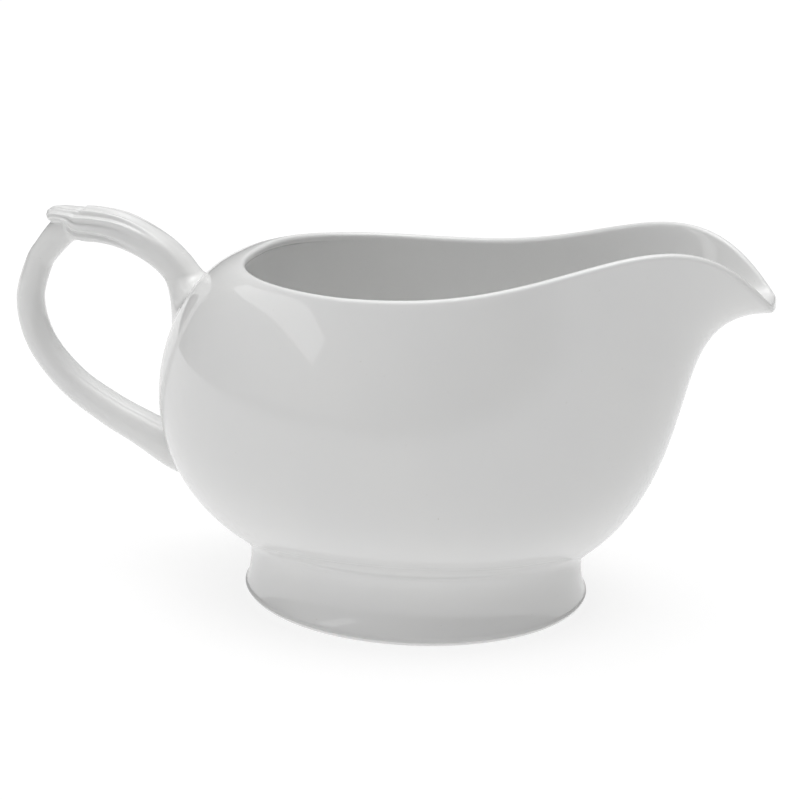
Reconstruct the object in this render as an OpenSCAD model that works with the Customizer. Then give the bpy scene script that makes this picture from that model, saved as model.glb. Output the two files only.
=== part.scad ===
// Gravy boat: an oval cast bowl with a pouring lip, on a flared oval foot, with a
// loop handle whose top is a ribbed leaf for the thumb. The three castings are
// luted together with slip and fired, and nothing moves. Lengths are millimetres.
// +X points to the pouring lip, -X to the handle and +Z up. The origin is the
// middle of the foot, on the table. The boat is the same on its +Y and -Y sides.

/* [Rim] */
// Reach of the rim from the origin to the tip of the pouring lip
lip_reach = 96; // [94:0.5:98]
// Reach of the rim from the origin to its back, over the handle
back_reach = 46.5; // [45:0.5:48]
// Half the width of the rim at its widest, over the outside
rim_half_width = 44.6; // [43:0.1:46]
// Height of the rim at the sides, where it is lowest before the crest
rim_height = 94; // [92:0.1:96]
// How far the rim rises at the back
back_rise = 3.6; // [2:0.2:5]
// How far the rim swells up to its crest, just before the lip
crest_rise = 11.1; // [9:0.1:12]
// How far the tip of the lip falls below the rim's sides
tip_drop = 5.5; // [4:0.1:6.5]

/* [Bowl] */
// Reach of the belly's pull toward the lip
belly_front = 80; // [78:0.5:82]
// Reach of the belly's pull toward the handle
belly_back = 87; // [85:0.5:89]
// Reach of the belly's pull toward each side
belly_side = 57; // [55:0.5:59]
// Thickness of the wall at the bottom of the bowl
wall = 3.8; // [3.2:0.1:4.2]
// Thickness of the rim, which is a half round
rim_wall = 2.6; // [2.2:0.1:3.2]

/* [Foot] */
// Half the length of the foot where it stands on the table
foot_half_length = 50.2; // [49:0.1:51]
// Half the width of the foot where it stands on the table
foot_half_width = 42.5; // [41.5:0.5:43.5]
// How far the foot draws in at the ends of its waist
waist_end = 1.7; // [1.2:0.1:2.4]
// How far the foot draws in at the sides of its waist
waist_side = 4.2; // [3.6:0.1:5]
// Height of the waist
waist_height = 10.5; // [9.5:0.5:11.5]
// Thickness of the foot's wall
foot_wall = 5; // [4:0.5:6]
// Radius of the foot's lower edge
foot_edge = 1.6; // [1.2:0.1:2]

/* [Handle] */
// Half the thickness of the loop at its outermost bend
loop_half = 4; // [3.7:0.1:4.4]
// Half the width of the leaf, across the boat
leaf_half_width = 6; // [5.5:0.1:6.5]
// Number of ribs around the leaf
leaf_ribs = 11; // [9:2:13]
// Height of the leaf's ribs
rib_height = 0.45; // [0.2:0.05:0.6]

/* [Hidden] */
// Points around each oval, and rows up the bowl's wall and over its rim
around = 72;
wall_rows = 20;
rim_rows = 5;
// Points around the loop and the leaf, and steps between two stations
tube_around = 24;
leaf_around = 44;
path_steps = 4;
// Rows over the foot's height
foot_rows = 9;
// Stand of the fired slip over the surfaces that it joins
bead = 1;
white = [0.93, 0.93, 0.92];
glaze_shade = [0.86, 0.86, 0.85];

// ---- Solids from rings of points ----

function middle(ring) = [for (axis = [0:2]) sum(ring, axis) / len(ring)];
function sum(ring, axis, i = 0) = i < len(ring) ? ring[i][axis] + sum(ring, axis, i + 1) : 0;

// A closed solid through a pile of rings, each with the same number of points
module pile(rings) {
    n = len(rings[0]);
    last = (len(rings) - 1) * n;
    points = [for (ring = rings) each ring];
    lower_cap = len(points);
    side = [for (base = [0:n:last - 1], i = [0:n - 1])
        let (a = base + i, b = base + (i + 1) % n)
        each [[a, a + n, b + n], [a, b + n, b]]];
    lower = [for (i = [0:n - 1]) [lower_cap, i, (i + 1) % n]];
    upper = [for (i = [0:n - 1]) [lower_cap + 1, last + (i + 1) % n, last + i]];
    polyhedron(
        points = concat(points, [middle(rings[0]), middle(rings[len(rings) - 1])]),
        faces = concat(side, lower, upper));
}

// ---- The bowl's skin: a Bezier loft that six ovals pull outward ----

// A row holds the reach to the front, to the back and to the sides, then the
// height at the front, the sides and the back, all as shares of the belly's
// pull and of the rim's height. Rows go from the underside up.
pulls = [
    [0.375, 0.350, 0.375, 0.064, 0.064, 0.064],
    [0.805, 0.815, 0.715, 0.131, 0.260, 0.131],
    [0.985, 0.985, 1.040, 0.516, 0.220, 0.618],
    [0.907, 0.838, 1.018, 0.743, 0.565, 0.695],
    [0.954, 0.758, 0.862, 0.923, 0.868, 1.026]];
top = len(pulls);
rim_middle = -4.7;

// Share of a plain oval in the outline, which is 1 on an oval and falls as the
// outline is pinched in toward the lip, and the power of the pinch
pinch_share = [1.00, 0.82, 0.735, 0.62, 0.545, 0.41];
pinch_power = [1.00, 1.50, 1.45, 1.96, 2.75, 3.00];
// Power of the plain part, which is below 1 on the rim, whose lip has a blunt nose
nose_power = [1.00, 1.00, 1.00, 1.00, 1.00, 0.435];
// Power of the sine behind the widest place, below 1 where the back is blunt
back_power = [1.00, 0.95, 0.90, 0.85, 0.786, 0.767];
// How tightly the front of each row keeps its own height to itself
front_power = [2.00, 7.60, 3.80, 4.47, 5.52];

function forward(u) = max(cos(u), 0);
function backward(u) = max(-cos(u), 0);

// Half width of row k at the angle u, where 0 is the lip and 180 the back
function outline(k, u) =
    let (s = abs(sin(u)), share = pinch_share[k])
    sign(sin(u)) * (cos(u) > 0
        ? (1 - share) * pow(s, pinch_power[k]) + share * pow(s, nose_power[k])
        : pow(s, back_power[k]));

// The rim's swell stands nearer the lip when skew is smaller, and powers above 1
// keep each rise and fall of the rim close to its own end
swell_skew = 0.862;
swell_power = 2.82;
back_rise_power = 1.6;
tip_drop_power = 8.1;
function rim_z(u) =
    let (turn = u > 180 ? 360 - u : u,
         swell = turn < 90 ? pow(sin(180 * pow(turn / 90, swell_skew)), swell_power) : 0)
    rim_height + back_rise * pow(backward(u), back_rise_power)
        - tip_drop * pow(forward(u), tip_drop_power) + crest_rise * swell;

function rim_pull(u) =
    [rim_middle + (lip_reach - rim_middle) * forward(u) - (back_reach + rim_middle) * backward(u),
     rim_half_width * outline(top, u),
     rim_z(u)];

function belly_pull(k, u) =
    let (row = pulls[k], centre = rim_middle * k / top, f = forward(u), b = backward(u))
    [centre + (row[0] * belly_front - centre) * f - (row[1] * belly_back + centre) * b,
     row[2] * belly_side * outline(k, u),
     rim_height * (row[4] + (row[3] - row[4]) * pow(f, front_power[k]) + (row[5] - row[4]) * b * b)];

net = [for (i = [0:around - 1])
    let (u = 360 * i / around)
    [for (k = [0:top - 1]) belly_pull(k, u), rim_pull(u)]];

function choose(n, k) = k == 0 ? 1 : choose(n - 1, k - 1) * n / k;
function share(n, k, t) =
    choose(n, k) * (k == 0 ? 1 : pow(t, k)) * (k == n ? 1 : pow(1 - t, n - k));
function shares(n, t) = [for (k = [0:n]) share(n, k, t)];

// Point, and direction up the wall, at station i of the ring and height t
function skin(i, t) = shares(top, t) * net[(i + around) % around];
function climb(i, t) =
    let (pull = net[(i + around) % around])
    shares(top - 1, t) * [for (k = [0:top - 1]) pull[k + 1] - pull[k]];
function unit(v) = v / norm(v);
function along(i, t) = skin(i + 1, t) - skin(i - 1, t);
function outward(i, t) = unit(cross(along(i, t), climb(i, t)));

function skin_ring(t, grow) = [for (i = [0:around - 1]) skin(i, t) + grow * outward(i, t)];
outer_rows = [for (row = [0:wall_rows]) row / wall_rows];
inner_rows = [for (row = [wall_rows:-1:0]) row / wall_rows];

// The wall thins as it climbs to the rim
function wall_at(t) = wall - (wall - rim_wall) * t * t;

// The rim is a half round from the outer skin over to the inner one
function rim_ring(angle) = [for (i = [0:around - 1])
    let (r = rim_wall / 2, out = outward(i, 1), up = unit(cross(out, along(i, 1))))
    skin(i, 1) - r * out + r * (out * cos(angle) + up * sin(angle))];

// The lower part of the bowl as a solid, up to the share of the wall given
module bowl_blank(grow = 0, reach = 0.5)
    pile([for (t = outer_rows) if (t <= reach) skin_ring(t, grow)]);

// The back of the bowl as a solid wedge, with its edge on an upright line
wedge_half = 9;
module back_blank() pile([for (t = outer_rows)
    [for (i = [around / 2 - wedge_half:around / 2 + wedge_half]) skin(i, t),
     [0, 0, skin(around / 2, t)[2]]]]);

module bowl() color(white) pile(concat(
    [for (t = outer_rows) skin_ring(t, 0)],
    [for (row = [1:rim_rows - 1]) rim_ring(180 * row / rim_rows)],
    [for (t = inner_rows) skin_ring(t, -wall_at(t))]));

// ---- The foot: ovals that draw in to a waist and flare up to the bowl ----

function oval_ring(half_length, half_width, z) = [for (i = [0:around - 1])
    let (u = 360 * i / around)
    [half_length * cos(u), half_width * sin(u), z]];

// 1 at the waist, 0 on the table, and a third where the foot has flared again
flared_draw = 0.33;
function draw_in(z) =
    let (share = 1 - pow((z - waist_height) / waist_height, 2))
    z > waist_height ? max(share, flared_draw) : share;
function foot_oval(z, grow) = oval_ring(
    foot_half_length - waist_end * draw_in(z) + grow,
    foot_half_width - waist_side * draw_in(z) + grow, z);
// The foot's blank runs on into the bowl, past the highest of the crease
foot_top = 2.3 * waist_height;

module foot_blank(grow = 0) {
    edge = [for (angle = [-90:22.5:0])
        oval_ring(
            foot_half_length - foot_edge * (1 - cos(angle)) + grow - waist_end * draw_in(0),
            foot_half_width - foot_edge * (1 - cos(angle)) + grow - waist_side * draw_in(0),
            foot_edge * (1 + sin(angle)))];
    cove = [for (row = [1:foot_rows])
        foot_oval(foot_edge + (foot_top - foot_edge) * row / foot_rows, grow)];
    pile(concat(edge, cove));
}

// Hollow under the bowl, with walls that lean in as they rise
hollow_lean = 3;
module foot_hollow() {
    stand = foot_wall - foot_edge;
    roof = foot_wall + hollow_lean;
    pile([
        oval_ring(foot_half_length - stand, foot_half_width - stand, -1),
        oval_ring(foot_half_length - foot_wall, foot_half_width - foot_wall, foot_edge),
        oval_ring(foot_half_length - roof, foot_half_width - roof, foot_top + 1)]);
}

module foot_ring() color(white) difference() {
    foot_blank();
    foot_hollow();
    bowl_blank();
}

// Slip squeezed into the crease between the bowl and the foot
module foot_joint() color(glaze_shade) difference() {
    intersection() {
        foot_blank(bead);
        bowl_blank(bead);
    }
    foot_blank();
    bowl_blank();
}

// ---- The handle: two swept limbs in the plane y = 0 ----

// Catmull-Rom curve through stations, each a list of numbers
function between(p, i, f) =
    let (a = p[max(i - 1, 0)], b = p[i], c = p[i + 1], d = p[min(i + 2, len(p) - 1)])
    0.5 * (2 * b + (c - a) * f + (2 * a - 5 * b + 4 * c - d) * f * f
        + (3 * b - a - 3 * c + d) * pow(f, 3));
function smooth(p) = [
    for (i = [0:len(p) - 2], step = [0:path_steps - 1]) between(p, i, step / path_steps),
    p[len(p) - 1]];

// A station is [x, z, half thickness in the plane, half width across it, ribs]
function tube_ring(line, i, n) =
    let (here = line[i],
         ahead = line[min(i + 1, len(line) - 1)],
         behind = line[max(i - 1, 0)],
         run = unit([ahead[0] - behind[0], ahead[1] - behind[1]]))
    [for (j = [0:n - 1])
        let (a = 360 * j / n,
             rib = 1 + here[4] * rib_height / loop_half * cos(leaf_ribs * a),
             rise = here[2] * rib * cos(a),
             across = -here[3] * rib * sin(a))
        [here[0] - run[1] * rise, across, here[1] + run[0] * rise]];

module tube(stations, n) {
    line = smooth(stations);
    pile([for (i = [0:len(line) - 1]) tube_ring(line, i, n)]);
}

// From inside the bowl's back, out round the bend and up under the leaf
loop_path = [
    [-48, 33, 6.8, 6.6, 0],
    [-60, 32.2, 6.8, 6.6, 0],
    [-68, 33.6, 6.6, 6.3, 0],
    [-74.2, 35.9, 6.4, 6, 0],
    [-84, 40.8, 5.4, 5.5, 0],
    [-94.5, 46.1, 5, 5.2, 0],
    [-106.3, 54.1, 4.6, 5, 0],
    [-115.4, 65.4, 4.3, 4.8, 0],
    [-118.3, 78, loop_half, 4.7, 0],
    [-114.8, 89.3, 3.8, 4.6, 0],
    [-111.3, 94.2, 3.9, 4.6, 0],
    [-107.2, 98.6, 4.2, 4.6, 0],
    [-104.4, 100.6, 4.2, 4.5, 0],
    [-101.2, 101, 4.1, 4.2, 0],
    [-97.6, 101.2, 3, 3.2, 0]];

// From the rounded tip of the leaf down to the bowl's shoulder
leaf_path = [
    [-109.9, 103.7, 0.8, 2, 0],
    [-109.4, 103.8, 1.8, 3.6, 0.6],
    [-108.2, 104.2, 2.2, 4.8, 1],
    [-105.6, 104.3, 2.3, 5.5, 1],
    [-103.4, 104.1, 2.3, 5.9, 1],
    [-101.9, 103.5, 3.3, leaf_half_width, 1],
    [-100.5, 102.5, 4.5, leaf_half_width, 1],
    [-98.6, 102, 4.8, leaf_half_width, 1],
    [-94.2, 101.8, 4.7, 5.8, 1],
    [-88.1, 100.8, 4.7, 5.5, 0.8],
    [-82, 98.5, 4.7, 5.3, 0.35],
    [-75.5, 94.9, 4.6, 5.3, 0],
    [-71.1, 91, 4.6, 5.4, 0],
    [-68, 86.8, 5, 5.6, 0],
    [-60, 76, 6, 6, 0]];

// The slip that beds each end of the handle flares out over the bowl
upper_bed = [
    [-74, 92.6, 4.7, 5.3, 0],
    [-71.9, 89.9, 5.7, 5.8, 0],
    [-70.2, 87.2, 6.9, 6.3, 0],
    [-68, 83.6, 8.7, 7.2, 0],
    [-61, 74, 12.5, 9.5, 0]];
lower_bed = [
    [-79, 38.4, 5.7, 5.6, 0],
    [-76, 37.1, 6.3, 6, 0],
    [-73, 36.3, 7.2, 6.8, 0],
    [-69, 36, 8.8, 8.2, 0],
    [-62, 36, 11, 9.8, 0],
    [-52, 38, 12, 10.5, 0]];

module handle_blank() {
    tube(loop_path, tube_around);
    tube(leaf_path, leaf_around);
}

module handle() color(white) difference() {
    handle_blank();
    back_blank();
}

module bed(stations) color(glaze_shade) difference() {
    tube(stations, tube_around);
    handle_blank();
    back_blank();
}

module upper_handle_joint() bed(upper_bed);
module lower_handle_joint() bed(lower_bed);

bowl();
foot_ring();
handle();
foot_joint();
upper_handle_joint();
lower_handle_joint();
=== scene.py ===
"""Looks of a white glazed gravy boat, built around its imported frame.

Each casting is a smooth mesh made by the same rules and lengths as the frame's faceted
solid. Fillets of glazed slip close the seams between them.
"""
import math

import bpy
import numpy as np
from mathutils import Matrix, Vector
from mathutils.bvhtree import BVHTree


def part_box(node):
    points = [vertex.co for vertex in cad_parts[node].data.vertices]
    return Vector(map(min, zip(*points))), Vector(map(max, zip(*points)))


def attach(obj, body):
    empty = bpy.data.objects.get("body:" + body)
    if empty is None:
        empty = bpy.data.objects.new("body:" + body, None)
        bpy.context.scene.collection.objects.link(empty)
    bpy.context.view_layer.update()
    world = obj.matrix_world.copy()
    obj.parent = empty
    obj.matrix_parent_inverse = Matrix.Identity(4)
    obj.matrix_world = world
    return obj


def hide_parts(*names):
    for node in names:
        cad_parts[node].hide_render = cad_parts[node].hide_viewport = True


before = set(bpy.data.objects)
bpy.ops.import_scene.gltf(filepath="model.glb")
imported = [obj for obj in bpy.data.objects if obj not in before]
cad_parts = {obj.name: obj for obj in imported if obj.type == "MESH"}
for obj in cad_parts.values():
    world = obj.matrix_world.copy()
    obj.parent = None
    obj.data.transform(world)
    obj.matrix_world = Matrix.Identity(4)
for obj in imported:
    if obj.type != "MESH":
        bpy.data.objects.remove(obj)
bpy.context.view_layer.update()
MM = 0.001

# ---- Sizes: the foot's come from its box, and the rest are the frame's own ----

_, foot_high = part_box("foot_ring")
LIP_REACH = 96 * MM
BACK_REACH = 46.5 * MM
RIM_HALF_WIDTH = 44.6 * MM
RIM_HEIGHT = 94 * MM
BACK_RISE = 3.6 * MM
CREST_RISE = 11.1 * MM
TIP_DROP = 5.5 * MM
BELLY_FRONT = 80 * MM
BELLY_BACK = 87 * MM
BELLY_SIDE = 57 * MM
RIM_MIDDLE = -4.7 * MM
WALL = 3.8 * MM
RIM_WALL = 2.6 * MM

FOOT_HALF_LENGTH = foot_high[0]
FOOT_HALF_WIDTH = foot_high[1]
WAIST_END = 1.7 * MM
WAIST_SIDE = 4.2 * MM
WAIST_HEIGHT = 10.5 * MM
FOOT_WALL = 5 * MM
FOOT_EDGE = 1.6 * MM

# Shading is smooth but for folds sharper than this
FOLD = math.radians(50)

# Mesh densities
AROUND = 288
WALL_ROWS = 80
RIM_ROWS = 12
FLOOR_ROWS = 24


# ---- Mesh helpers ----

def unit(v):
    return v / np.linalg.norm(v, axis=-1, keepdims=True)


def add_piece(name, points, faces, node, materials):
    """A smooth-shaded piece that stands for a CAD node and rides on the one body."""
    mesh = bpy.data.meshes.new(name)
    mesh.from_pydata(np.asarray(points).tolist(), [], faces)
    mesh.update()
    mesh.shade_smooth()
    mesh.set_sharp_from_angle(angle=FOLD)
    for material in materials:
        mesh.materials.append(material)
    piece = bpy.data.objects.new(name, mesh)
    bpy.context.scene.collection.objects.link(piece)
    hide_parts(node)
    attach(piece, "root")
    return piece


def ring_faces(rings, n, closed=False):
    """Quads between rings of n points; closed joins the last ring to the first."""
    faces = []
    for r in range(rings if closed else rings - 1):
        a, b = r * n, (r + 1) % rings * n
        faces += [(a + i, a + (i + 1) % n, b + (i + 1) % n, b + i) for i in range(n)]
    return faces


def pile(rings):
    """Closed shell through a pile of rings, capped at both ends by a fan."""
    rings = np.asarray(rings)
    count, n, _ = rings.shape
    caps = [rings[0].mean(axis=0), rings[-1].mean(axis=0)]
    points = np.concatenate([rings.reshape(-1, 3), caps])
    low, high, top = count * n, count * n + 1, (count - 1) * n
    faces = ring_faces(count, n)
    faces += [(low, (i + 1) % n, i) for i in range(n)]
    faces += [(high, top + i, top + (i + 1) % n) for i in range(n)]
    return points, faces


def loop_shell(rings):
    """Closed shell, like a bent tyre, through rings whose last joins the first."""
    rings = np.asarray(rings)
    count, n, _ = rings.shape
    return rings.reshape(-1, 3), ring_faces(count, n, closed=True)


def bezier(pulls, t):
    degree = len(pulls) - 1
    return sum(math.comb(degree, k) * t ** k * (1 - t) ** (degree - k) * pulls[k]
               for k in range(degree + 1))


# ---- The bowl's skin: a Bezier loft that six ovals pull outward ----

# Shares of the belly's pull to the front, the back and the sides, then of the rim's
# height at the front, the sides and the back, from the underside up
PULLS = (
    (0.375, 0.350, 0.375, 0.064, 0.064, 0.064),
    (0.805, 0.815, 0.715, 0.131, 0.260, 0.131),
    (0.985, 0.985, 1.040, 0.516, 0.220, 0.618),
    (0.907, 0.838, 1.018, 0.743, 0.565, 0.695),
    (0.954, 0.758, 0.862, 0.923, 0.868, 1.026))
TOP = len(PULLS)
PINCH_SHARE = (1.00, 0.82, 0.735, 0.62, 0.545, 0.41)
PINCH_POWER = (1.00, 1.50, 1.45, 1.96, 2.75, 3.00)
NOSE_POWER = (1.00, 1.00, 1.00, 1.00, 1.00, 0.435)
BACK_POWER = (1.00, 0.95, 0.90, 0.85, 0.786, 0.767)
FRONT_POWER = (2.00, 7.60, 3.80, 4.47, 5.52)

turn = np.arange(AROUND) * 2 * math.pi / AROUND
forward = np.clip(np.cos(turn), 0, None)
backward = np.clip(-np.cos(turn), 0, None)


def outline(k):
    """Half width of oval k at each angle, pinched in toward the lip."""
    s = np.abs(np.sin(turn))
    share = PINCH_SHARE[k]
    front = (1 - share) * s ** PINCH_POWER[k] + share * s ** NOSE_POWER[k]
    return np.sign(np.sin(turn)) * np.where(np.cos(turn) > 0, front, s ** BACK_POWER[k])


def rim_pull():
    near = np.minimum(np.minimum(turn, 2 * math.pi - turn) / (math.pi / 2), 1)
    swell = np.clip(np.sin(math.pi * near ** 0.862), 0, None) ** 2.82
    x = RIM_MIDDLE + (LIP_REACH - RIM_MIDDLE) * forward - (BACK_REACH + RIM_MIDDLE) * backward
    z = RIM_HEIGHT + BACK_RISE * backward ** 1.6 - TIP_DROP * forward ** 8.1 + CREST_RISE * swell
    return np.stack([x, RIM_HALF_WIDTH * outline(TOP), z], axis=1)


def belly_pull(k):
    front, back, side, z_front, z_side, z_back = PULLS[k]
    centre = RIM_MIDDLE * k / TOP
    x = (centre + (front * BELLY_FRONT - centre) * forward
         - (back * BELLY_BACK + centre) * backward)
    z = RIM_HEIGHT * (z_side + (z_front - z_side) * forward ** FRONT_POWER[k]
                      + (z_back - z_side) * backward ** 2)
    return np.stack([x, side * BELLY_SIDE * outline(k), z], axis=1)


net = np.array([belly_pull(k) for k in range(TOP)] + [rim_pull()])


def skin(t):
    return bezier(net, t)


def climb(t):
    return unit(bezier(net[1:] - net[:-1], t))


def outward(t):
    ring = skin(t)
    along = np.roll(ring, -1, axis=0) - np.roll(ring, 1, axis=0)
    return unit(np.cross(along, climb(t)))


def wall_at(t):
    return WALL - (WALL - RIM_WALL) * t ** 2


FLOOR_SAG = 1.5 * MM


def floor_rings(edge):
    """Rings from the edge of the bowl's floor in to its middle, with no crease."""
    rise = climb(0)
    reach = np.hypot(edge[:, 0], edge[:, 1])
    slope = rise[:, 2] / np.hypot(rise[:, 0], rise[:, 1])
    bend = (slope * reach - 2 * FLOOR_SAG) / 2
    rings = []
    for share in (row / FLOOR_ROWS for row in range(FLOOR_ROWS - 1, 0, -1)):
        ring = edge * [share, share, 1]
        ring[:, 2] -= FLOOR_SAG * (1 - share ** 2) + bend * (share ** 2 - share ** 4)
        rings.append(ring)
    return rings


outer = [skin(row / WALL_ROWS) for row in range(WALL_ROWS + 1)]
inner = [skin(t) - wall_at(t) * outward(t)
         for t in (row / WALL_ROWS for row in range(WALL_ROWS, -1, -1))]
half = wall_at(1) / 2
out = outward(1)
up = unit(np.cross(out, np.roll(outer[-1], -1, axis=0) - np.roll(outer[-1], 1, axis=0)))
rim = [outer[-1] - half * out + half * (out * math.cos(a) + up * math.sin(a))
       for a in (math.pi * row / RIM_ROWS for row in range(1, RIM_ROWS))]

skin_points, skin_faces = pile(outer)
skin_tree = BVHTree.FromPolygons(skin_points.tolist(), skin_faces)


BELOW_TABLE = -10 * MM


def bowl_underside(ring):
    """Height of the bowl's skin straight over each point of a ring."""
    heights = []
    for x, y, _ in ring:
        place, _, _, _ = skin_tree.ray_cast(Vector((x, y, BELOW_TABLE)), Vector((0, 0, 1)))
        heights.append(place.z)
    return np.array(heights)


def sunk(point):
    """How deep a point lies in the bowl's skin; negative outside it."""
    place, normal, _, distance = skin_tree.find_nearest(Vector(point))
    return distance if (place - Vector(point)).dot(normal) > 0 else -distance


# ---- The foot ----

def oval(half_length, half_width, z):
    return np.stack([half_length * np.cos(turn), half_width * np.sin(turn),
                     np.broadcast_to(z, turn.shape)], axis=1)


# Share of the waist's draw that is left where the foot has flared again
FLARED_DRAW = 0.33


def foot_skin(z):
    """The foot's outside at height z, which may differ round the oval."""
    share = 1 - ((z - WAIST_HEIGHT) / WAIST_HEIGHT) ** 2
    share = np.where(z > WAIST_HEIGHT, np.maximum(share, FLARED_DRAW), share)
    return oval(FOOT_HALF_LENGTH - WAIST_END * share, FOOT_HALF_WIDTH - WAIST_SIDE * share, z)


# How far the hollow's wall leans in by the top of the foot's blank
HOLLOW_LEAN = 3 * MM
BLANK_TOP = 2.3 * WAIST_HEIGHT


def hollow_skin(z):
    inset = FOOT_WALL + HOLLOW_LEAN * z / BLANK_TOP
    return oval(FOOT_HALF_LENGTH - inset, FOOT_HALF_WIDTH - inset, z)


CREASE_PASSES = 8


def crease_heights(ring_at):
    """Heights at which a wall, given by its ring at each height, meets the bowl."""
    z = np.full(AROUND, WAIST_HEIGHT)
    for _ in range(CREASE_PASSES):
        z = bowl_underside(ring_at(z))
    return z


# How far the foot and the handle run on into the bowl's wall
BURY = 1.2 * MM
FOOT_ROWS = 36
EDGE_ROWS = 8
INNER_EDGE = 0.8 * MM
crease = crease_heights(foot_skin)
hollow_crease = crease_heights(hollow_skin)
foot_rings = [foot_skin(FOOT_EDGE + (crease + BURY - FOOT_EDGE) * row / FOOT_ROWS)
              for row in range(FOOT_ROWS, -1, -1)]
for angle in (math.pi / 2 * row / EDGE_ROWS for row in range(1, EDGE_ROWS + 1)):
    inset = FOOT_EDGE * (1 - math.cos(angle))
    foot_rings.append(oval(FOOT_HALF_LENGTH - inset, FOOT_HALF_WIDTH - inset,
                           FOOT_EDGE * (1 - math.sin(angle))))
for angle in (math.pi / 2 * row / EDGE_ROWS for row in range(EDGE_ROWS + 1)):
    inset = FOOT_WALL - INNER_EDGE * (1 - math.sin(angle))
    foot_rings.append(oval(FOOT_HALF_LENGTH - inset, FOOT_HALF_WIDTH - inset,
                           INNER_EDGE * (1 - math.cos(angle))))
foot_rings += [hollow_skin(INNER_EDGE + (hollow_crease + BURY - INNER_EDGE) * row / FOOT_ROWS)
               for row in range(1, FOOT_ROWS + 1)]

# The fillet of slip in the crease, tangent to the foot below and the bowl above. Its root
# is hidden in the walls, and its face stands clear of both so that no shadow flickers
SLIP = 2.4 * MM
SLIP_ROWS = 16
SEAM_ROOT = 1.5 * MM
SEAM_STAND = 0.03 * MM
plan_out = unit(np.stack([np.cos(turn) / FOOT_HALF_LENGTH, np.sin(turn) / FOOT_HALF_WIDTH,
                          np.zeros(AROUND)], axis=1))
seam_low = foot_skin(crease - SLIP)
seam_corner = foot_skin(crease)
seam_high = seam_corner + plan_out * SLIP
seam_high[:, 2] = bowl_underside(seam_high)
seam_rings = [bezier((seam_low, seam_corner, seam_high), row / SLIP_ROWS)
              + SEAM_STAND * (plan_out - [0, 0, 1]) for row in range(SLIP_ROWS + 1)]
seam_lift = np.array([0, 0, SEAM_ROOT])
seam_rings += [seam_high + seam_lift, seam_corner - plan_out * SEAM_ROOT + seam_lift,
               seam_low - plan_out * SEAM_ROOT]

# ---- The handle: two limbs in the plane y = 0, both running toward the bowl ----

# Stations: x and z, half thickness in the plane, half width across it, ribs and
# squareness of the section, all in millimetres but the last two
LOOP = (
    (-97.6, 101.2, 3.0, 3.2, 0, 0),
    (-101.2, 101.0, 4.1, 4.2, 0, 0),
    (-104.4, 100.6, 4.2, 4.5, 0, 0),
    (-107.2, 98.6, 4.2, 4.6, 0, 0),
    (-111.3, 94.2, 3.9, 4.6, 0, 0),
    (-114.8, 89.3, 3.8, 4.6, 0, 0),
    (-118.3, 78.0, 4.0, 4.7, 0, 0),
    (-115.4, 65.4, 4.3, 4.8, 0, 0),
    (-106.3, 54.1, 4.6, 5.0, 0, 0),
    (-94.5, 46.1, 5.0, 5.2, 0, 0),
    (-84.0, 40.8, 5.4, 5.5, 0, 0),
    (-74.2, 35.9, 6.4, 6.0, 0, 0),
    (-68.0, 33.6, 6.6, 6.3, 0, 0),
    (-60.0, 32.2, 6.8, 6.6, 0, 0),
    (-48.0, 33.0, 6.8, 6.6, 0, 0))
LEAF = (
    (-109.9, 103.7, 0.8, 2.0, 0, 0),
    (-109.4, 103.8, 1.8, 3.6, 0.6, 0),
    (-108.2, 104.2, 2.2, 4.8, 1, 0),
    (-105.6, 104.3, 2.3, 5.5, 1, 0),
    (-103.4, 104.1, 2.3, 5.9, 1, 0.1),
    (-101.9, 103.5, 3.3, 6.0, 1, 0.2),
    (-100.5, 102.5, 4.5, 6.0, 1, 0.3),
    (-98.6, 102.0, 4.8, 6.0, 1, 0.4),
    (-94.2, 101.8, 4.7, 5.8, 1, 0.6),
    (-88.1, 100.8, 4.7, 5.5, 0.8, 0.9),
    (-82.0, 98.5, 4.7, 5.3, 0.35, 1),
    (-75.5, 94.9, 4.6, 5.3, 0, 1),
    (-71.1, 91.0, 4.6, 5.4, 0, 0.8),
    (-68.0, 86.8, 5.0, 5.6, 0, 0.5),
    (-60.0, 76.0, 6.0, 6.0, 0, 0.3))
LEAF_RIBS = 11
RIB_HEIGHT = 0.1
SQUARE_POWER = 0.3
STEPS = 16
HANDLE_ROWS = 260
FILLET_ROWS = 20
# Lengths over which a limb's direction is read off its skin, outside the bowl and in it
RUN_STEP = 0.5 * MM
ROOT_STEP = 0.6 * MM


def smooth_line(stations):
    """Catmull-Rom curve through stations, each a row of numbers."""
    p = np.array(stations, float)
    last = len(p) - 1
    line = []
    for i in range(last):
        a, b, c, d = p[max(i - 1, 0)], p[i], p[i + 1], p[min(i + 2, last)]
        for f in (step / STEPS for step in range(STEPS)):
            line.append(0.5 * (2 * b + (c - a) * f + (2 * a - 5 * b + 4 * c - d) * f * f
                               + (3 * b - a - 3 * c + d) * f ** 3))
    line.append(p[last])
    line = np.array(line)
    line[:, :4] *= MM
    return line


def signed_power(v, power):
    return np.sign(v) * np.abs(v) ** power


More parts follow.
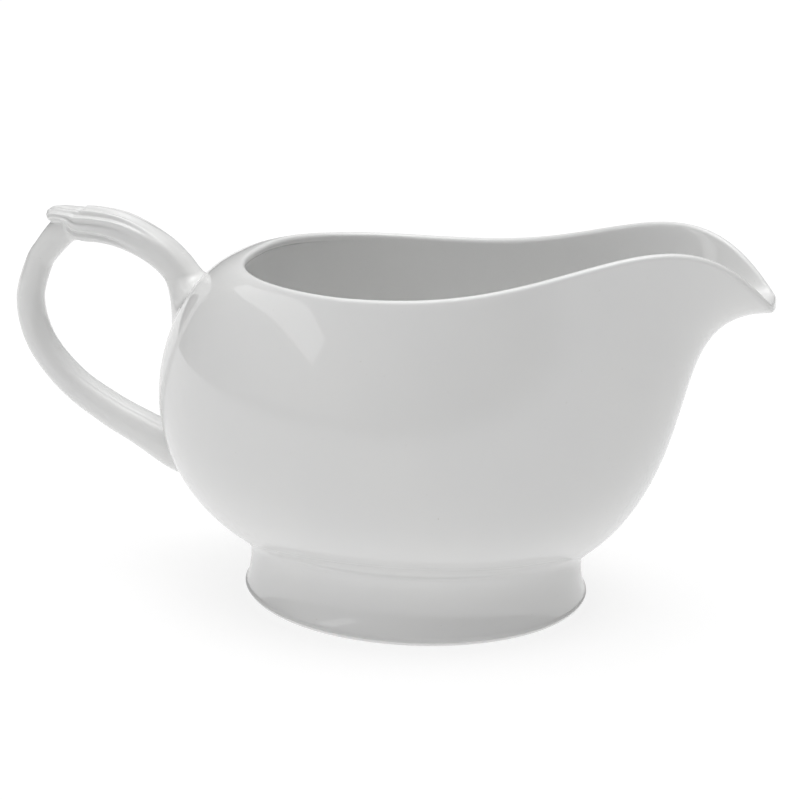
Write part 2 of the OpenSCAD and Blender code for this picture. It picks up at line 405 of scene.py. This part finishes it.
class Limb:
    """A swept limb, whose skin is a grid of rows along it and columns around it."""

    def __init__(self, stations, columns):
        line = smooth_line(stations)
        run = unit(np.gradient(line[:, :2], axis=0))
        angle = np.arange(columns) * 2 * math.pi / columns
        rows = []
        for (x, z, thick, width, ribs, square), (run_x, run_z) in zip(line, run):
            rib = 1 + ribs * RIB_HEIGHT * np.cos(LEAF_RIBS * angle)
            power = 1 - SQUARE_POWER * square
            rise = thick * rib * signed_power(np.cos(angle), power)
            across = -width * rib * signed_power(np.sin(angle), power)
            rows.append(np.stack([x - run_z * rise, across, z + run_x * rise], axis=1))
        self.angle = angle
        self.grid = np.array(rows)
        steps = np.linalg.norm(np.diff(line[:, :2], axis=0), axis=1)
        self.length = np.concatenate([[0], np.cumsum(steps)])
        self.meets = self.contact()

    def at(self, length):
        """Skin points, one for each column, at the lengths given along the limb."""
        length = np.broadcast_to(length, self.angle.shape)
        return np.stack([[np.interp(length[i], self.length, self.grid[:, i, axis])
                          for i in range(len(length))] for axis in range(3)], axis=1)

    def contact(self):
        """Length at which each column of the skin goes into the bowl."""
        meets = []
        for column in range(len(self.angle)):
            depth = np.array([sunk(p) for p in self.grid[len(self.length) // 2:, column]])
            first = int(np.argmax(depth > 0))
            share = depth[first - 1] / (depth[first - 1] - depth[first])
            row = len(self.length) // 2 + first - 1
            meets.append(self.length[row] + share * (self.length[row + 1] - self.length[row]))
        return np.array(meets)

    def rings(self):
        """Rings from the limb's start to just inside the bowl's wall."""
        end = self.meets + BURY
        return [self.at(end * row / HANDLE_ROWS) for row in range(HANDLE_ROWS + 1)]


def fillet(limb, shape):
    """Slip flaring from a limb's skin out over the bowl's, with a hidden inner face."""
    below = 0.5 - 0.5 * np.cos(limb.angle)
    climb_up, spread, pull = (over + (under - over) * below for over, under in shape)
    climb_up, spread = climb_up * MM, spread * MM
    meet = limb.at(limb.meets)
    start = limb.at(limb.meets - climb_up)
    start += SEAM_STAND * unit(start - start.mean(axis=0))
    run = unit(limb.at(limb.meets - climb_up + RUN_STEP) - start)
    middle = meet.mean(axis=0)
    finish, arrive = [], []
    for place, reach in zip(meet, spread):
        _, normal, _, _ = skin_tree.find_nearest(Vector(place))
        normal = np.array(normal)
        away = place - middle
        away = unit(away - normal * away.dot(normal))
        landed, normal, _, _ = skin_tree.find_nearest(Vector(place + away * reach))
        finish.append(np.array(landed + SEAM_STAND * normal))
        arrive.append(unit(away - np.array(normal) * away.dot(np.array(normal))))
    finish, arrive = np.array(finish), np.array(arrive)
    gap = np.linalg.norm(finish - start, axis=1, keepdims=True)
    reach = gap * np.reshape(pull, (-1, 1))
    pulls = (start, start + run * reach, finish - arrive * reach, finish)
    rings = [bezier(pulls, row / FILLET_ROWS) for row in range(FILLET_ROWS + 1)]
    root = SEAM_ROOT * unit(limb.at(limb.meets + ROOT_STEP) - meet)
    hidden = [finish + root, meet + root - SEAM_ROOT * unit(meet - middle),
              start - SEAM_ROOT * unit(start - start.mean(axis=0))]
    return rings + hidden


# How far each fillet climbs the limb and spreads over the bowl, in millimetres, and how
# gently it turns, each as a pair: on the limb's upper side and on its under side
UPPER_FILLET = ((3, 11), (2.2, 10), (0.45, 0.17))
LOWER_FILLET = ((5, 10), (3.5, 5), (0.42, 0.30))
LOOP_COLUMNS, LEAF_COLUMNS = 96, 176
loop = Limb(LOOP, LOOP_COLUMNS)
leaf = Limb(LEAF, LEAF_COLUMNS)


# ---- Materials ----

class Shader:
    """A small helper that adds nodes to a material and wires them up."""

    def __init__(self, name):
        self.material = bpy.data.materials.new(name)
        self.material.use_nodes = True
        self.tree = self.material.node_tree
        self.surface = self.tree.nodes["Principled BSDF"]

    def node(self, kind, **settings):
        made = self.tree.nodes.new(kind)
        for key, value in settings.items():
            setattr(made, key, value)
        return made

    def link(self, source, target):
        self.tree.links.new(source, target)

    def place(self):
        return self.node("ShaderNodeTexCoord").outputs["Object"]

    def noise(self, scale, detail, roughness=0.5):
        made = self.node("ShaderNodeTexNoise")
        made.inputs["Scale"].default_value = scale
        made.inputs["Detail"].default_value = detail
        made.inputs["Roughness"].default_value = roughness
        self.link(self.place(), made.inputs["Vector"])
        return made.outputs["Fac"]

    def ramp(self, source, *stops):
        made = self.node("ShaderNodeValToRGB")
        steps = made.color_ramp.elements
        while len(steps) < len(stops):
            steps.new(0.5)
        for step, (position, colour) in zip(steps, stops):
            step.position = position
            step.color = (*colour, 1)
        self.link(source, made.inputs["Fac"])
        return made.outputs["Color"]

    def mix(self, kind, factor, a, b):
        made = self.node("ShaderNodeMix", data_type="RGBA", blend_type=kind)
        if isinstance(factor, float):
            made.inputs["Factor"].default_value = factor
        else:
            self.link(factor, made.inputs["Factor"])
        for socket, value in ((made.inputs[6], a), (made.inputs[7], b)):
            if isinstance(value, tuple):
                socket.default_value = (*value, 1)
            else:
                self.link(value, socket)
        return made.outputs[2]

    def bump(self, height, distance, strength, below=None):
        made = self.node("ShaderNodeBump")
        made.inputs["Distance"].default_value = distance
        made.inputs["Strength"].default_value = strength
        self.link(height, made.inputs["Height"])
        if below:
            self.link(below, made.inputs["Normal"])
        return made.outputs["Normal"]


def glaze(name, tint, painted_curvature_light=True):
    """Thick clear glaze over white porcelain; with the flag set, its colour carries painted shade
    in creases and a painted highlight on edges.
    """
    s = Shader(name)
    body = tint
    if painted_curvature_light:
        # Painted shade and highlight: the colour darkens to 0.9 in hollows and creases and
        # brightens to 1.05 on sharp edges
        edge = s.node("ShaderNodeNewGeometry").outputs["Pointiness"]
        body = s.ramp(edge, (0.42, tuple(0.90 * c for c in tint)), (0.5, tint),
                      (0.60, tuple(1.05 * c for c in tint)))
    cloud = s.ramp(s.noise(28, 3), (0.3, (0.975, 0.977, 0.98)), (0.7, (1.0, 1.0, 0.996)))
    colour = s.mix("MULTIPLY", 1.0, body, cloud)
    specks = s.ramp(s.noise(1500, 1), (0.185, (0.72, 0.70, 0.66)), (0.205, (1.0, 1.0, 1.0)))
    s.link(s.mix("MULTIPLY", 0.5, colour, specks), s.surface.inputs["Base Color"])
    ripple = s.bump(s.noise(45, 2), 0.12 * MM, 0.35)
    peel = s.bump(s.noise(900, 2), 0.006 * MM, 0.5, ripple)
    s.link(peel, s.surface.inputs["Normal"])
    s.link(peel, s.surface.inputs["Coat Normal"])
    sheen = s.node("ShaderNodeMapRange")
    s.link(s.noise(160, 3), sheen.inputs["Value"])
    sheen.inputs["To Min"].default_value = 0.28
    sheen.inputs["To Max"].default_value = 0.40
    s.link(sheen.outputs["Result"], s.surface.inputs["Roughness"])
    s.surface.inputs["IOR"].default_value = 1.45
    s.surface.inputs["Specular IOR Level"].default_value = 0.3
    s.surface.inputs["Coat Weight"].default_value = 1.0
    s.surface.inputs["Coat Roughness"].default_value = 0.035
    s.surface.inputs["Coat IOR"].default_value = 1.52
    s.surface.inputs["Subsurface Weight"].default_value = 0.2
    s.surface.inputs["Subsurface Radius"].default_value = (1.0, 1.0, 1.0)
    s.surface.inputs["Subsurface Scale"].default_value = 0.8 * MM
    return s.material


def bisque():
    """The bare fired clay of the foot's standing face: matt, grainy and a touch warm."""
    s = Shader("bisque")
    grain = s.noise(1400, 4, 0.7)
    s.link(s.ramp(grain, (0.3, (0.60, 0.58, 0.54)), (0.7, (0.74, 0.73, 0.70))),
           s.surface.inputs["Base Color"])
    s.surface.inputs["Roughness"].default_value = 0.85
    s.link(s.bump(grain, 0.04 * MM, 0.6), s.surface.inputs["Normal"])
    return s.material


WHITE = (0.84, 0.84, 0.835)
# A touch darker than the white glaze, as painted shade in the creases that the seam fillets fill
SEAM_SHADE_WHITE = (0.835, 0.835, 0.83)
white_glaze = glaze("white_glaze", WHITE)
seam_shaded_glaze = glaze("seam_shaded_glaze", SEAM_SHADE_WHITE, painted_curvature_light=False)
bare_clay = bisque()

# ---- Pieces ----

bowl_rings = floor_rings(outer[0])[::-1] + outer + rim + inner + floor_rings(inner[-1])
points, faces = pile(bowl_rings)
add_piece("bowl_casting", points, faces, "bowl", [white_glaze])

points, faces = loop_shell(foot_rings)
foot = add_piece("foot_casting", points, [face[::-1] for face in faces], "foot_ring",
                 [white_glaze, bare_clay])
STANDING_FACE = 0.12 * MM
for face in foot.data.polygons:
    if face.center.z < STANDING_FACE:
        face.material_index = 1

points, faces = loop_shell(seam_rings)
add_piece("foot_seam", points, faces, "foot_joint", [seam_shaded_glaze])

loop_points, loop_faces = pile(loop.rings())
leaf_points, leaf_faces = pile(leaf.rings())
shift = len(loop_points)
handle = add_piece("handle_casting", np.concatenate([loop_points, leaf_points]),
                   loop_faces + [tuple(i + shift for i in face) for face in leaf_faces],
                   "handle", [white_glaze])
merge = handle.modifiers.new("merge", "REMESH")
merge.mode = "VOXEL"
merge.voxel_size = 0.25 * MM
merge.use_smooth_shade = True
soften = handle.modifiers.new("soften", "SMOOTH")
soften.factor = 0.5
soften.iterations = 16

for name, limb, shape, node in (
        ("upper_seam", leaf, UPPER_FILLET, "upper_handle_joint"),
        ("lower_seam", loop, LOWER_FILLET, "lower_handle_joint")):
    points, faces = loop_shell(fillet(limb, shape))
    add_piece(name, points, faces, node, [seam_shaded_glaze])


# ---- Floor, light and camera ----

def calculate(shader_tree, operation, a, b):
    """One step of arithmetic between two sockets or numbers."""
    step = shader_tree.nodes.new("ShaderNodeMath")
    step.operation = operation
    for socket, value in zip(step.inputs, (a, b)):
        if isinstance(value, (int, float)):
            socket.default_value = value
        else:
            shader_tree.links.new(value, socket)
    return step.outputs["Value"]


def smooth_step(shader_tree, value, start, stop, low, high):
    """A value eased from low, where the input is at start, to high, at stop."""
    eased = shader_tree.nodes.new("ShaderNodeMapRange")
    eased.interpolation_type = "SMOOTHSTEP"
    shader_tree.links.new(value, eased.inputs["Value"])
    for name, number in (("From Min", start), ("From Max", stop),
                         ("To Min", low), ("To Max", high)):
        eased.inputs[name].default_value = number
    return eased.outputs["Result"]


# A wide white table, lit through from below. Its light is dimmer far out in front of the
# boat, so that no bright edge shows in the glaze, but the camera sees it white all over
FLOOR_HALF = 12.0
FLOOR_WHITE = 0.3
FLOOR_GLOW = 0.735
FADE_START, FADE_STOP = -0.2, -1.6
FADE_TO = 0.3
FLOOR_LIGHT = 0.9
floor_mesh = bpy.data.meshes.new("floor")
corners = [(x * FLOOR_HALF, y * FLOOR_HALF, 0) for x, y in ((-1, -1), (1, -1), (1, 1), (-1, 1))]
floor_mesh.from_pydata(corners, [], [(0, 1, 2, 3)])
floor = bpy.data.objects.new("floor", floor_mesh)
bpy.context.scene.collection.objects.link(floor)
paint = Shader("floor_paint")
split = paint.node("ShaderNodeSeparateXYZ")
paint.link(paint.place(), split.inputs[0])
faded = smooth_step(paint.tree, split.outputs["Y"], FADE_STOP, FADE_START, FADE_TO, FLOOR_LIGHT)
in_view = paint.node("ShaderNodeLightPath").outputs["Is Camera Ray"]
for socket, level in (("Base Color", FLOOR_WHITE), ("Emission Strength", FLOOR_GLOW)):
    shade = calculate(paint.tree, "MAXIMUM", faded, in_view)
    paint.link(calculate(paint.tree, "MULTIPLY", shade, level), paint.surface.inputs[socket])
paint.surface.inputs["Emission Color"].default_value = (1, 1, 1, 1)
paint.surface.inputs["Roughness"].default_value = 1
paint.surface.inputs["Specular IOR Level"].default_value = 0
floor_mesh.materials.append(paint.material)

# Large soft sources round the boat: direction of the middle of each, its strength, and
# a power that is higher where the source is smaller
SOFT_SOURCES = (
    ((0, 0, 1), 1.2, 4),
    ((0.1, 0, 1), 3.2, 16),
    ((-0.6, -0.7, 0.15), 0.58, 4),
    ((0, -1, 0.1), 0.13, 4),
    ((0, 0.8, 0.6), 0.75, 4),
    ((0.8, -0.1, 0.6), 0.24, 8))
world = bpy.data.worlds.new("studio")
world.use_nodes = True
tree = world.node_tree
background = tree.nodes["Background"]
looking = tree.nodes.new("ShaderNodeTexCoord").outputs["Generated"]


glow = 0
for direction, strength, power in SOFT_SOURCES:
    facing = tree.nodes.new("ShaderNodeVectorMath")
    facing.operation = "DOT_PRODUCT"
    tree.links.new(looking, facing.inputs[0])
    facing.inputs[1].default_value = Vector(direction).normalized()
    lobe = calculate(tree, "POWER", calculate(tree, "MAXIMUM", facing.outputs["Value"], 0), power)
    glow = calculate(tree, "ADD", calculate(tree, "MULTIPLY", lobe, strength), glow)
seen = tree.nodes.new("ShaderNodeLightPath").outputs["Is Camera Ray"]
tree.links.new(calculate(tree, "MAXIMUM", glow, seen), background.inputs["Strength"])
background.inputs["Color"].default_value = (1, 1, 1, 1)
bpy.context.scene.world = world


def direction_of(azimuth, elevation):
    """Unit vector at an azimuth and an elevation, both in degrees."""
    azimuth, elevation = math.radians(azimuth), math.radians(elevation)
    return Vector((math.cos(azimuth) * math.cos(elevation),
                   math.sin(azimuth) * math.cos(elevation), math.sin(elevation)))


STRIP_HEIGHT = 0.9 * RIM_HEIGHT


def strip_light(name, end_a, end_b, width, radiance):
    """A long softbox 1 m from the boat, between two ends given as azimuth and elevation."""
    middle_of_boat = Vector((0, 0, STRIP_HEIGHT))
    a = middle_of_boat + direction_of(*end_a)
    b = middle_of_boat + direction_of(*end_b)
    data = bpy.data.lights.new(name, "AREA")
    data.shape = "RECTANGLE"
    data.size, data.size_y = (b - a).length, width
    data.energy = radiance * math.pi * data.size * data.size_y
    across = (b - a).normalized()
    outward_axis = ((a + b) / 2 - middle_of_boat).normalized()
    upward = outward_axis.cross(across).normalized()
    box = bpy.data.objects.new(name, data)
    turn_to = Matrix((across, upward, across.cross(upward))).transposed()
    box.matrix_world = Matrix.Translation((a + b) / 2) @ turn_to.to_4x4()
    bpy.context.scene.collection.objects.link(box)


strip_light("window_strip", (165, 32), (-118, 12.5), 0.12, 1.2)

VIEW_TURN = math.radians(15.1)
VIEW_TILT = math.radians(16.9)
VIEW_DISTANCE = 437.5 * MM
VIEW_TARGET = Vector((-4.4, 0, 55.75)) * MM
VIEW_LENS = 69.4
back = Vector((math.sin(VIEW_TURN) * math.cos(VIEW_TILT),
               -math.cos(VIEW_TURN) * math.cos(VIEW_TILT), math.sin(VIEW_TILT)))
camera_data = bpy.data.cameras.new("camera")
camera_data.lens = VIEW_LENS
camera = bpy.data.objects.new("camera", camera_data)
camera.location = VIEW_TARGET + back * VIEW_DISTANCE
camera.rotation_euler = (-back).to_track_quat("-Z", "Y").to_euler()
bpy.context.scene.collection.objects.link(camera)
bpy.context.scene.camera = camera
bpy.context.scene.view_settings.view_transform = "Standard"
bpy.context.scene.cycles.use_denoising = True
